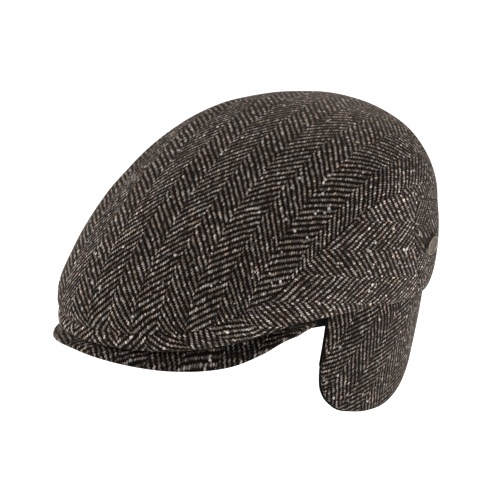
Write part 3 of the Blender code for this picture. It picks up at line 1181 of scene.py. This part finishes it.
@dataclass(frozen=True)
class BlackCloth:
    """Fine black cloth for the band and the lining, its ribs counted in one column width."""

    # Partly painted shade: black cloth made darker than real black cloth, for the deep shade inside the crown.
    colour: Colour = (0.0042, 0.0041, 0.0044)
    ribs: float = 26.0
    # Painted shade: the colour is darker in the grooves between the ribs.
    painted_rib_shade: Pair = (0.5, 1.0)
    fibre_scale: float = 900.0
    fibre_tone: Pair = (0.6, 1.4)
    fibre_height: float = 0.4
    roughness: Pair = (0.75, 0.95)
    depth: float = 0.00012
    bump_strength: float = 0.8

    def material(self, name: str) -> bpy.types.Material:
        """Make the cloth's material.

        Args:
            name: Name of the material.

        Returns:
            The new material.
        """
        graph = Graph(name)
        _, v, _ = graph.parts(graph.cloth_place())
        off_rib = abs(v * self.ribs - graph.floor(v * self.ribs) - 0.5)
        rib = graph.rounded(off_rib)
        fibre, tone, _ = graph.parts(graph.noise(graph.body_place(), self.fibre_scale, detail=3.0))
        tone_and_painted_shade = graph.between(rib, self.painted_rib_shade) * graph.between(tone, self.fibre_tone)
        graph.bump(rib + fibre * self.fibre_height, self.depth, self.bump_strength)
        return graph.finish(
            Base_Color=graph.scaled(self.colour, tone_and_painted_shade),
            Roughness=graph.between(fibre, self.roughness),
            Specular_IOR_Level=0.08,
            Sheen_Weight=0.02,
            Sheen_Roughness=0.4,
        )


@dataclass(frozen=True)
class AgedBronze:
    """Dull bronze for the pin, darker where it is sunk; the sunk edge is a share of the radius."""

    colour: Colour = (0.160, 0.131, 0.105)
    tarnish: Colour = (0.050, 0.036, 0.023)
    sunk_edge: Pair = (0.76, 0.88)
    wear_range: Pair = (0.35, 0.65)
    dullness: Pair = (0.45, 1.0)
    metallic_loss: float = 0.75
    roughness: float = 0.36
    grain_roughness: float = 0.25
    dull_roughness: float = 0.2
    grain_scale: float = 420.0
    depth: float = 0.00005
    bump_strength: float = 0.5

    def material(self, name: str) -> bpy.types.Material:
        """Make the metal's material; the map's second number is the share of the radius.

        Args:
            name: Name of the material.

        Returns:
            The new material.
        """
        graph = Graph(name)
        _, radius, _ = graph.parts(graph.cloth_place())
        cloud, grain, _ = graph.parts(graph.noise(graph.body_place(), self.grain_scale, detail=4.0))
        sunk = 1.0 - graph.smooth(radius, *self.sunk_edge)
        dull = sunk * graph.between(graph.smooth(cloud, *self.wear_range), self.dullness)
        graph.bump(grain, self.depth, self.bump_strength)
        return graph.finish(
            Base_Color=graph.blend(dull, self.colour, self.tarnish),
            Metallic=1.0 - dull * self.metallic_loss,
            Roughness=self.roughness + grain * self.grain_roughness + dull * self.dull_roughness,
            Specular_IOR_Level=0.2,
        )


@dataclass(frozen=True)
class PaleFloor:
    """Plain pale studio floor."""

    colour: Colour = (0.80, 0.80, 0.80)
    glow: float = 0.84
    cloud_scale: float = 3.0
    cloud_tone: Pair = (0.99, 1.01)

    def material(self, name: str) -> bpy.types.Material:
        """Make the floor's material.

        Args:
            name: Name of the material.

        Returns:
            The new material.
        """
        graph = Graph(name)
        cloud, _, _ = graph.parts(graph.noise(graph.body_place(), self.cloud_scale, detail=2.0))
        return graph.finish(
            Base_Color=graph.scaled(self.colour, graph.between(cloud, self.cloud_tone)),
            Roughness=0.9,
            Emission_Color=(1.0, 1.0, 1.0),
            Emission_Strength=self.glow,
        )


@dataclass(frozen=True)
class WeaveLay:
    """How a piece is cut from the cloth.

    Attributes:
        column: Width of one column of the herringbone.
        angle: Angle between the columns and the first of the piece's two directions.
        start: Column number at the piece's zero.
        shift: Column widths that the piece lies further along the cloth than the others.
        way: 1 where the cloth runs along the first direction, -1 where it runs against it.
    """

    column: float
    angle: float
    start: float
    shift: float
    way: int = 1

    def place(self, first: Array, second: Array) -> Array:
        """Place in the cloth, in column widths.

        Args:
            first: Distance along the piece's first direction.
            second: Distance along its second direction.

        Returns:
            Column number and place along the columns at each point.
        """
        angle = math.radians(self.angle)
        over = first * math.sin(angle) + second * math.cos(angle)
        on = first * math.cos(angle) - second * math.sin(angle)
        columns = over / self.column + self.start
        return np.stack([columns, self.way * on / self.column + self.shift], axis=-1)


@dataclass
class CapPiece:
    """One sewn piece of the cap, on its way into the scene."""

    form: CapForm

    def hand_over(
        self, piece: bpy.types.Object, node: str, slot: str, finish: Tweed | BlackCloth | AgedBronze
    ) -> None:
        """Give a piece its material and its body, and hide the CAD node that it stands for.

        Args:
            piece: The new object.
            node: The CAD node that it stands for.
            slot: Not used.
            finish: Its finish; the material gets the piece's name.
        """
        piece.data.materials.append(finish.material(piece.name))
        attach(piece, ROOT)
        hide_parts(node)
        log.info("%s: %d faces for %s", piece.name, len(piece.data.polygons), node)


def ripple(first: Array, second: Array, length: float, height: float) -> Array:
    """Make the gentle unevenness of soft cloth.

    Args:
        first: Distance of each point in one direction.
        second: Its distance in the other direction.
        length: Wavelength.
        height: Height of the waves.

    Returns:
        How far the cloth stands out at each point.
    """
    # Waves to one length in each direction, where the wave begins, and its share of the height.
    waves = (
        (1.00, 0.31, 0.4, 0.50),
        (-0.62, 0.83, 1.9, 0.45),
        (0.41, -1.27, 3.1, 0.35),
        (1.53, 0.92, 5.2, 0.22),
        (-1.71, 0.57, 0.9, 0.20),
    )
    total = np.zeros(np.broadcast(first, second).shape)
    for across, up, begin, share in waves:
        total += share * np.sin(2.0 * math.pi * (across * first + up * second) / length + begin)
    return height * total


@dataclass
class TopPanel(CapPiece):
    """The single panel that covers the crown from the front edge to the nape.

    Swell and gathers are a wavelength and a height. They set in and end over distances from
    the seam.
    """

    tweed: Tweed
    columns: int = 360
    rows: int = 98
    dense_rows: int = 500
    lay: WeaveLay = WeaveLay(column=0.0185, angle=75.0, start=1.113, shift=0.0, way=-1)
    calm: Pair = (0.001, 0.012)
    swell: Pair = (0.055, 0.00030)
    gathers: Pair = (0.017, 0.00016)
    gathers_start: Pair = (0.0015, 0.006)
    gathers_end: Pair = (0.010, 0.024)
    gathers_stretch: Pair = (1.1, 0.9)
    flat: Pair = (0.250, 0.330)
    flat_area: float = 0.064

    def build(self) -> None:
        """Make and dress the panel."""
        form = self.form
        turns = np.linspace(-180.0, 180.0, self.columns, endpoint=False)
        wall = ClothWall(
            "top_panel_tweed",
            form.top_face(turns, np.linspace(0.0, 1.0, self.dense_rows)),
            form.cloth,
            bottom=Edge.SEAM,
            rows=self.rows,
            ring=True,
            pole=True,
            level_at_seams=form.panel_outward(turns),
        )
        span = wall.dense[-1] - wall.dense[0]
        heading = np.arctan2(span[:, 0], -span[:, 1])
        across = wall.from_top * np.sin(heading)
        back = -wall.from_top * np.cos(heading)
        weave = closed_ring(self.lay.place(across, back))
        piece = wall.build(weave, self.relief(wall.from_bottom, across, back))
        self.hand_over(piece, "top_panel", "top_panel", self.tweed)

    def relief(self, from_seam: Array, across: Array, back: Array) -> Array:
        """Find the soft unevenness of the panel, with small gathers next to its seam.

        Args:
            from_seam: Distance of each point from the seam.
            across: Distance of each point from the panel's middle, to the left.
            back: Its distance from the middle, to the back.

        Returns:
            How far the cloth stands out at each point.
        """
        swell = ripple(across, back, *self.swell) * blend_at(from_seam, *self.calm)
        near = blend_at(from_seam, *self.gathers_start) * (1.0 - blend_at(from_seam, *self.gathers_end))
        wide, long = self.gathers_stretch
        return swell + near * ripple(across * wide, back * long, *self.gathers)


class Side(Enum):
    """Which side of the wearer's head a piece is on."""

    LEFT = 1
    RIGHT = -1


@dataclass
class CrownPanel(CapPiece):
    """A panel of the crown between the seam round the top panel and the lower edge.

    Its fine columns lie at degrees from an end seam. The swell is a wavelength and a height,
    and sets in over distances from the edges and from the ends.
    """

    tweed: Tweed
    columns: int = 300
    rows: int = 46
    dense_rows: int = 160
    near_seam: tuple[float, ...] = (0.0, 0.03, 0.10, 0.20, 0.36, 0.78, 0.82, 1.1, 1.6)
    calm_edges: Pair = (0.001, 0.012)
    calm_ends: Pair = (0.001, 0.010)
    swell: Pair = (0.05, 0.00025)

    def heights(self) -> Array:
        """Shares of the panel's height at the dense rows, from its seam down."""
        return np.linspace(1.0, 0.0, self.dense_rows)[:, None]

    def turns(self, start: Array, end: Array) -> Array:
        """Find the turns of the panel's columns, closer together next to its end seams.

        Args:
            start: Turn where each row starts.
            end: Turn where each row ends.

        Returns:
            Turns in rows and columns.
        """
        near = np.array(self.near_seam)
        shares = np.linspace(0.0, 1.0, self.columns + 2)[1:-1]
        inner_start, inner_end = start + near[-1], end - near[-1]
        between = inner_start + (inner_end - inner_start) * shares
        return np.concatenate([start + near, between, end - near[::-1]], axis=1)

    def wall(self, name: str, start: Array, end: Array, way: int = 1) -> tuple[ClothWall, Array]:
        """Make the panel's wall of cloth.

        Args:
            name: Name of the piece.
            start: Turn where each row starts.
            end: Turn where each row ends.
            way: 1 for turns to the wearer's left, -1 for turns to the right.

        Returns:
            The wall, and the distance of each of its points from the middle of the front.
        """
        form = self.form
        turns = self.turns(start, end)
        wall = ClothWall(
            name,
            form.side_face(turns * way, self.heights()),
            form.cloth,
            top=Edge.SEAM,
            bottom=Edge.FOLD,
            ends=Edge.SEAM,
            rows=self.rows,
        )
        turns = wall.spread(turns)
        wall.level_at_seams = form.panel_outward(turns * way)
        return wall, form.panel_reach(turns)

    def relief(self, wall: ClothWall, reach: Array, height: Array) -> Array:
        """Find the soft unevenness of the panel away from its seams and edge.

        Args:
            wall: The panel's wall of cloth.
            reach: Distance of each point from the middle of the front.
            height: Height of each point.

        Returns:
            How far the cloth stands out at each point.
        """
        free = blend_at(np.minimum(wall.from_top, wall.from_bottom), *self.calm_edges)
        free = free * blend_at(np.minimum(wall.from_start, wall.from_end), *self.calm_ends)
        return ripple(reach, height, *self.swell) * free


@dataclass
class SidePanel(CrownPanel):
    """A side panel, from the middle of the front round to the seam behind the ear.

    The front cut gives the angle of its columns at distances from the middle of the front;
    the cloth turns about the height of the strip level.
    """

    side: Side = Side.LEFT
    lay: WeaveLay = WeaveLay(column=0.0180, angle=12.0, start=0.353, shift=40.0)
    front_cut: tuple[Pair, ...] = (
        (0.000, 90.0),
        (0.058, 90.0),
        (0.066, 72.0),
        (0.076, 46.0),
        (0.113, 42.0),
        (0.124, 12.0),
    )
    cut_steps: int = 800
    strip_level: float = 0.004
    right_shift: float = 0.5
    flat: Pair = (0.262, 0.100)
    flat_area: float = 0.0098

    def build(self) -> None:
        """Make and dress the panel."""
        name = f"side_panel_{self.side.name.lower()}"
        heights = self.heights()
        gap = self.form.panel_gap()
        start = np.full_like(heights, gap)
        end = self.form.back_seam(heights) - gap
        wall, reach = self.wall(name + "_tweed", start, end, self.side.value)
        weave = self.cut(reach, wall.hang())
        if self.side is Side.RIGHT:
            weave = weave + np.array([self.right_shift, 0.0])
        piece = wall.build(weave, self.relief(wall, reach, wall.face[..., 2]))
        self.hand_over(piece, name, name, self.tweed)

    def cut(self, reach: Array, height: Array) -> Array:
        """Find the place of each point in the cloth, which is turned step by step in front.

        Args:
            reach: Distance of each point from the middle of the front.
            height: Height of each point.

        Returns:
            Column number and place along the columns at each point.
        """
        steps = np.linspace(0.0, float(reach.max()), self.cut_steps)
        reaches, angles = zip(*self.front_cut)
        angle = np.radians(np.interp(steps, reaches, angles))
        behind = math.radians(self.lay.angle)
        over = np.cumsum(np.sin(angle)) * steps[1]
        on = np.cumsum(np.cos(angle)) * steps[1]
        over += steps[-1] * math.sin(behind) - over[-1]
        on += steps[-1] * math.cos(behind) - on[-1]
        level = height - self.strip_level
        level_over = self.strip_level * math.cos(behind)
        turned = np.interp(reach, steps, angle)
        u = (np.interp(reach, steps, over) + level * np.cos(turned) + level_over) / self.lay.column
        v = (np.interp(reach, steps, on) - level * np.sin(turned)) / self.lay.column
        return np.stack([u + self.lay.start, v + self.lay.shift], axis=-1)


@dataclass
class BackPanel(CrownPanel):
    """The panel across the nape, between the two seams behind the ears."""

    columns: int = 220
    calm_ends: Pair = (0.024, 0.036)
    lay: WeaveLay = WeaveLay(column=0.0180, angle=0.0, start=0.5, shift=90.0)
    flat: Pair = (0.215, 0.078)
    flat_area: float = 0.0145

    def build(self) -> None:
        """Make and dress the panel."""
        seam = self.form.back_seam(self.heights()) + self.form.panel_gap()
        wall, reach = self.wall("back_panel_tweed", seam, 360.0 - seam)
        height = wall.hang()
        piece = wall.build(self.lay.place(reach, height), self.relief(wall, reach, height))
        self.hand_over(piece, "back_panel", "back_panel", self.tweed)


@dataclass
class Peak(CapPiece):
    """The stiffened peak, covered with tweed that is folded round its edge."""

    tweed: Tweed
    columns: int = 260
    rows: int = 40
    dense_rows: int = 160
    edge: EdgeShape = EdgeShape(steps=(0.0, 5e-5, 2e-4, 4e-4, 7e-4, 1.1e-3, 1.5e-3, 2.1e-3, 3e-3))
    lay: WeaveLay = WeaveLay(column=0.0170, angle=72.0, start=1.996, shift=140.0, way=-1)

    def build(self) -> None:
        """Make and dress the peak."""
        form = self.form
        turns = np.linspace(-form.peak_end_turn, form.peak_end_turn, self.columns)
        shares = np.linspace(0.0, 1.0, self.dense_rows)
        upper = np.stack([form.peak_top(turns, np.full(len(turns), share)) for share in shares])
        upper[0, :, :2] = form.layer(turns, form.band_cloth + form.gap)
        wall = ClothWall(
            "peak_tweed",
            upper,
            form.peak_thickness,
            bottom=Edge.FOLD,
            ends=Edge.FOLD,
            rows=self.rows,
            shape=self.edge,
        )
        upward = np.array([0.0, 0.0, 1.0])
        near = np.minimum(wall.from_bottom, np.minimum(wall.from_start, wall.from_end))
        drop = self.edge.outer_depth(Edge.FOLD, near, form.peak_thickness)[..., None] * upward
        front = wall.face - drop
        back = wall.face - form.peak_thickness * upward + drop
        wrap = self.edge.wrap(near, form.peak_thickness)[..., None]
        reach = wall.face[..., :2] + self.away(turns) * wrap
        weave = self.lay.place(reach[..., 0], reach[..., 1])
        piece = closed_mesh("peak_tweed", front, back, weave, False, False)
        self.hand_over(piece, "peak", "peak", self.tweed)

    def away(self, turns: Array) -> Array:
        """Level directions out of the peak's edge."""
        half_width, half_length = self.form.rim()
        return outward(turns, half_width + self.form.peak_flare, half_length + self.form.peak_reach)


@dataclass
class InnerBand(CapPiece):
    """The dark band inside the crown that grips the head."""

    cloth: BlackCloth
    columns: int = 300
    rows: int = 12
    dense_rows: int = 40
    edge: EdgeShape = EdgeShape(steps=(0.0, 5e-5, 2e-4, 4e-4, 6e-4, 1e-3))
    column_width: float = 0.018
    flat: Pair = (0.575, 0.036)

    def build(self) -> None:
        """Make and dress the band."""
        form = self.form
        turns = np.linspace(-180.0, 180.0, self.columns, endpoint=False)
        heights = np.linspace(form.band_height - form.band_drop, -form.band_drop, self.dense_rows)
        plan = form.layer(turns, form.band_cloth)
        wall = ClothWall(
            "inner_band_cloth",
            np.stack([with_height(plan, height) for height in heights]),
            form.band_cloth,
            top=Edge.FOLD,
            bottom=Edge.FOLD,
            rows=self.rows,
            ring=True,
            shape=self.edge,
        )
        closed = closed_ring(wall.face)
        weave = np.stack([along(closed, 1), closed[..., 2]], axis=-1) / self.column_width
        piece = wall.build(weave)
        self.hand_over(piece, "inner_band", "inner_band", self.cloth)


@dataclass
class EarFlap(CapPiece):
    """The flap that runs from ear to ear round the nape, folded down: tweed and lining.

    Its fine columns lie at degrees from the front edge. The weave hangs at the depth where
    the cloth's length round the flap is measured.
    """

    tweed: Tweed
    cloth: BlackCloth
    columns: int = 330
    rows: int = 64
    dense_rows: int = 200
    edge: EdgeShape = EdgeShape(steps=(0.0, 5e-5, 2e-4, 4e-4, 6e-4, 9e-4, 1.4e-3))
    near_corner: tuple[float, ...] = (0.0, 0.05, 0.15, 0.3, 0.5, 0.7, 0.9, 1.1, 1.4, 1.8, 2.3, 3.0)
    corner_step: float = 0.6
    lay: WeaveLay = WeaveLay(column=0.0180, angle=124.0, start=2.089, shift=190.0, way=-1)
    weave_hang: float = 0.030
    flat: Pair = (0.345, 0.085)
    flat_area: float = 0.0260
    lining_flat: Pair = (0.348, 0.086)
    lining_area: float = 0.0258

    def turns(self, forward: float) -> Array:
        """Find the turns of the columns, closer together where the front corners curve.

        Args:
            forward: How far the front edge is ahead of the tweed's, in degrees.

        Returns:
            Turn of each column.
        """
        near = self.form.flap_start_turn - forward + np.array(self.near_corner)
        first = near[-1] + self.corner_step
        middle = np.linspace(first, 360.0 - near[-1] - self.corner_step, self.columns)
        return np.concatenate([near, middle, 360.0 - near[::-1]])

    def wall(
        self, name: str, distance: float, thickness: float, forward: float, extra: float
    ) -> ClothWall:
        """Make one layer of the flap as a wall of cloth.

        Args:
            name: Name of the piece.
            distance: How far outside the head its inner face lies.
            thickness: Thickness of the layer.
            forward: How far its front edge is ahead of the tweed's, in degrees.
            extra: How much deeper it hangs than the tweed.

        Returns:
            The wall of cloth.
        """
        lead = forward * self.form.lining_corner_share
        shares = np.linspace(0.0, 1.0, self.dense_rows)
        return ClothWall(
            name,
            self.form.flap_face(self.turns(forward), distance + thickness, extra, shares, lead),
            thickness,
            bottom=Edge.FOLD,
            ends=Edge.FOLD,
            rows=self.rows,
            shape=self.edge,
        )

    def build(self) -> None:
        """Make and dress both layers."""
        form = self.form
        distance = form.band_cloth + form.gap
        lead = form.degrees(form.lining_lead)
        tweed = self.wall("ear_flap_tweed", distance + form.lining + form.gap, form.cloth, 0.0, 0.0)
        lining = self.wall("flap_lining_cloth", distance, form.lining, lead, form.lining_show)
        reach = along(form.flap_plan(self.turns(0.0), distance, self.weave_hang)[None], 1)
        reach = reach - tweed.shape.wrap(tweed.from_start, form.cloth)
        weave = self.lay.place(reach, tweed.hang())
        outer = tweed.build(weave)
        self.hand_over(outer, "ear_flap", "ear_flap", self.tweed)
        inner = lining.build(weave)
        self.hand_over(inner, "flap_lining", "flap_lining", self.cloth)


@dataclass
class Pin(CapPiece):
    """The small bare metal pin on the back panel: an oval with a raised rim.

    Its tilt is taken over a patch, given as degrees and a share of the height to each side.
    """

    metal: AgedBronze
    width: float = 0.0195
    height: float = 0.0118
    thickness: float = 0.0020
    dish: float = 0.0006
    turn: float = 123.5
    height_share: float = 0.53
    patch: Pair = (0.5, 0.02)
    columns: int = 96

    def frame(self) -> tuple[Array, Array, Array, Array]:
        """Find where the pin lies on the panel.

        Returns:
            Centre of the pin's back, and its directions sideways, upwards and outwards.
        """
        beside, above = self.patch
        turns = np.array([self.turn - beside, self.turn, self.turn + beside])
        heights = np.array([self.height_share - above, self.height_share, self.height_share + above])
        patch = self.form.side_face(turns, heights[:, None])
        upward = patch[2, 1] - patch[0, 1]
        out = np.cross(patch[1, 2] - patch[1, 0], upward)
        out *= math.copysign(1.0, float(np.dot(out[:2], patch[1, 1, :2]))) / np.linalg.norm(out)
        upward = upward / np.linalg.norm(upward)
        return patch[1, 1] + out * self.form.gap, np.cross(upward, out), upward, out

    def profile(self) -> tuple[Pair, ...]:
        """Shape the pin's face.

        Returns:
            Share of the oval and height, from the middle of the face to its edge.
        """
        floor = self.thickness - self.dish
        return (
            (0.00, floor + 0.20 * self.dish),
            (0.30, floor + 0.16 * self.dish),
            (0.60, floor + 0.05 * self.dish),
            (0.76, floor),
            (0.80, floor + 0.10 * self.dish),
            (0.84, floor + 0.80 * self.dish),
            (0.87, self.thickness),
            (0.93, self.thickness),
            (0.97, self.thickness - 0.30 * self.dish),
            (0.99, self.thickness - 0.90 * self.dish),
            (1.00, 0.50 * self.thickness),
            (0.99, 0.20 * self.thickness),
        )

    def build(self) -> None:
        """Make and dress the pin."""
        centre, sideways, upward, out = self.frame()
        angles = np.linspace(0.0, 2.0 * math.pi, self.columns, endpoint=False)
        round_it = np.cos(angles)[:, None] * sideways * self.width / 2.0
        round_it = round_it + np.sin(angles)[:, None] * upward * self.height / 2.0
        profile = self.profile()
        front = np.stack([centre + round_it * wide + out * high for wide, high in profile])
        back = np.stack([centre + round_it * wide for wide, _ in profile])
        shares = np.array([wide for wide, _ in profile])[:, None]
        spots = np.linspace(0.0, 1.0, self.columns + 1)[None, :]
        weave = np.stack(np.broadcast_arrays(spots, shares), axis=-1)
        piece = closed_mesh("pin_metal", front, back, weave, True, True)
        self.hand_over(piece, "pin", "pin", self.metal)


@dataclass(frozen=True)
class SoftLight:
    """A large soft lamp aimed at the cap.

    It stands beside the camera by a turn round the cap, at an elevation, both in degrees.
    """

    name: str
    beside: float
    elevation: float
    distance: float
    size: float
    power: float


@dataclass
class Studio:
    """Floor, lights and camera.

    The camera's azimuth is its turn round the cap from the front, towards the wearer's left.
    The photograph is square, and its pixels for a metre are counted at the origin.
    """

    azimuth: float = 50.0
    elevation: float = 18.0
    distance: float = 1.6
    pixels_per_metre: float = 1540.0
    origin_pixel: Pair = (276.1, 277.0)
    photo_size: float = 500.0
    sensor: float = 36.0
    clip: Pair = (0.05, 100.0)
    floor_height: float = -0.45
    floor_size: float = 40.0
    world_light: float = 0.20
    lights: tuple[SoftLight, ...] = (
        SoftLight("key", beside=88.0, elevation=15.0, distance=2.2, size=1.4, power=43.0),
        SoftLight("fill", beside=-76.0, elevation=37.0, distance=2.4, size=1.6, power=70.0),
    )

    def away(self, azimuth: float, elevation: float) -> Vector:
        """Direction from the cap towards a place round it."""
        turn, rise = math.radians(azimuth), math.radians(elevation)
        return Vector((math.sin(turn) * math.cos(rise), -math.cos(turn) * math.cos(rise), math.sin(rise)))

    def add_camera(self) -> None:
        """Put the camera at the photograph's viewing angle."""
        back = self.away(self.azimuth, self.elevation)
        right = Vector((0.0, 0.0, 1.0)).cross(back).normalized()
        up = back.cross(right)
        beside = (self.photo_size / 2.0 - self.origin_pixel[0]) / self.pixels_per_metre
        above = (self.origin_pixel[1] - self.photo_size / 2.0) / self.pixels_per_metre
        place = back * self.distance
        towards = (place - right * beside - up * above).normalized()
        level = (right - towards * right.dot(towards)).normalized()
        data = bpy.data.cameras.new("camera")
        data.sensor_width = self.sensor
        data.lens = self.sensor * self.distance * self.pixels_per_metre / self.photo_size
        data.clip_start, data.clip_end = self.clip
        camera = bpy.data.objects.new("camera", data)
        turned = Matrix((level, towards.cross(level), towards)).transposed()
        camera.matrix_world = Matrix.Translation(place) @ turned.to_4x4()
        bpy.context.scene.collection.objects.link(camera)
        bpy.context.scene.camera = camera

    def add_light(self, lamp: SoftLight) -> None:
        """Add one of the lamps.

        Args:
            lamp: The lamp.
        """
        data = bpy.data.lights.new(lamp.name, "AREA")
        data.shape = "DISK"
        data.size = lamp.size
        data.energy = lamp.power
        light = bpy.data.objects.new(lamp.name, data)
        away = self.away(self.azimuth + lamp.beside, lamp.elevation)
        turned = away.to_track_quat("Z", "Y").to_matrix().to_4x4()
        light.matrix_world = Matrix.Translation(away * lamp.distance) @ turned
        bpy.context.scene.collection.objects.link(light)

    def add_world(self) -> None:
        """Add the even light from all round."""
        world = bpy.data.worlds.new("studio")
        world.use_nodes = True
        background = world.node_tree.nodes["Background"]
        background.inputs["Color"].default_value = (1.0, 1.0, 1.0, 1.0)
        background.inputs["Strength"].default_value = self.world_light
        bpy.context.scene.world = world

    def add_floor(self) -> None:
        """Add the plain pale floor."""
        half = self.floor_size / 2.0
        corners = [(-half, -half), (half, -half), (half, half), (-half, half)]
        mesh = bpy.data.meshes.new("studio_floor")
        mesh.from_pydata([(x, y, self.floor_height) for x, y in corners], [], [[0, 1, 2, 3]])
        mesh.materials.append(PaleFloor().material("studio_floor"))
        floor = bpy.data.objects.new("studio_floor", mesh)
        bpy.context.scene.collection.objects.link(floor)

    def build(self) -> None:
        """Set the whole studio up."""
        bpy.context.scene.view_settings.view_transform = "Standard"
        self.add_floor()
        self.add_world()
        for lamp in self.lights:
            self.add_light(lamp)
        self.add_camera()


def main() -> None:
    """Build and dress the cap, and set up the studio round it."""
    logging.basicConfig(level=logging.INFO, format="%(name)s: %(message)s")
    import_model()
    Studio().build()
    form = CapForm()
    # Painted light and shade: the tweed is one cloth, but the sides get a brighter copy for the lamp on them,
    # and the top, back, peak and flap darker copies for their shade.
    tweed = Tweed(painted_light_scale=0.93)
    painted_lit_side_tweed = Tweed(painted_light_scale=1.14)
    black = BlackCloth()
    TopPanel(form, tweed).build()
    SidePanel(form, painted_lit_side_tweed, side=Side.LEFT).build()
    SidePanel(form, painted_lit_side_tweed, side=Side.RIGHT).build()
    BackPanel(form, Tweed(painted_light_scale=0.78)).build()
    Peak(form, Tweed(painted_light_scale=0.66)).build()
    InnerBand(form, black).build()
    EarFlap(form, Tweed(yarns=17, painted_light_scale=0.77), black).build()
    Pin(form, AgedBronze()).build()


if __name__ == "__main__":
    main()
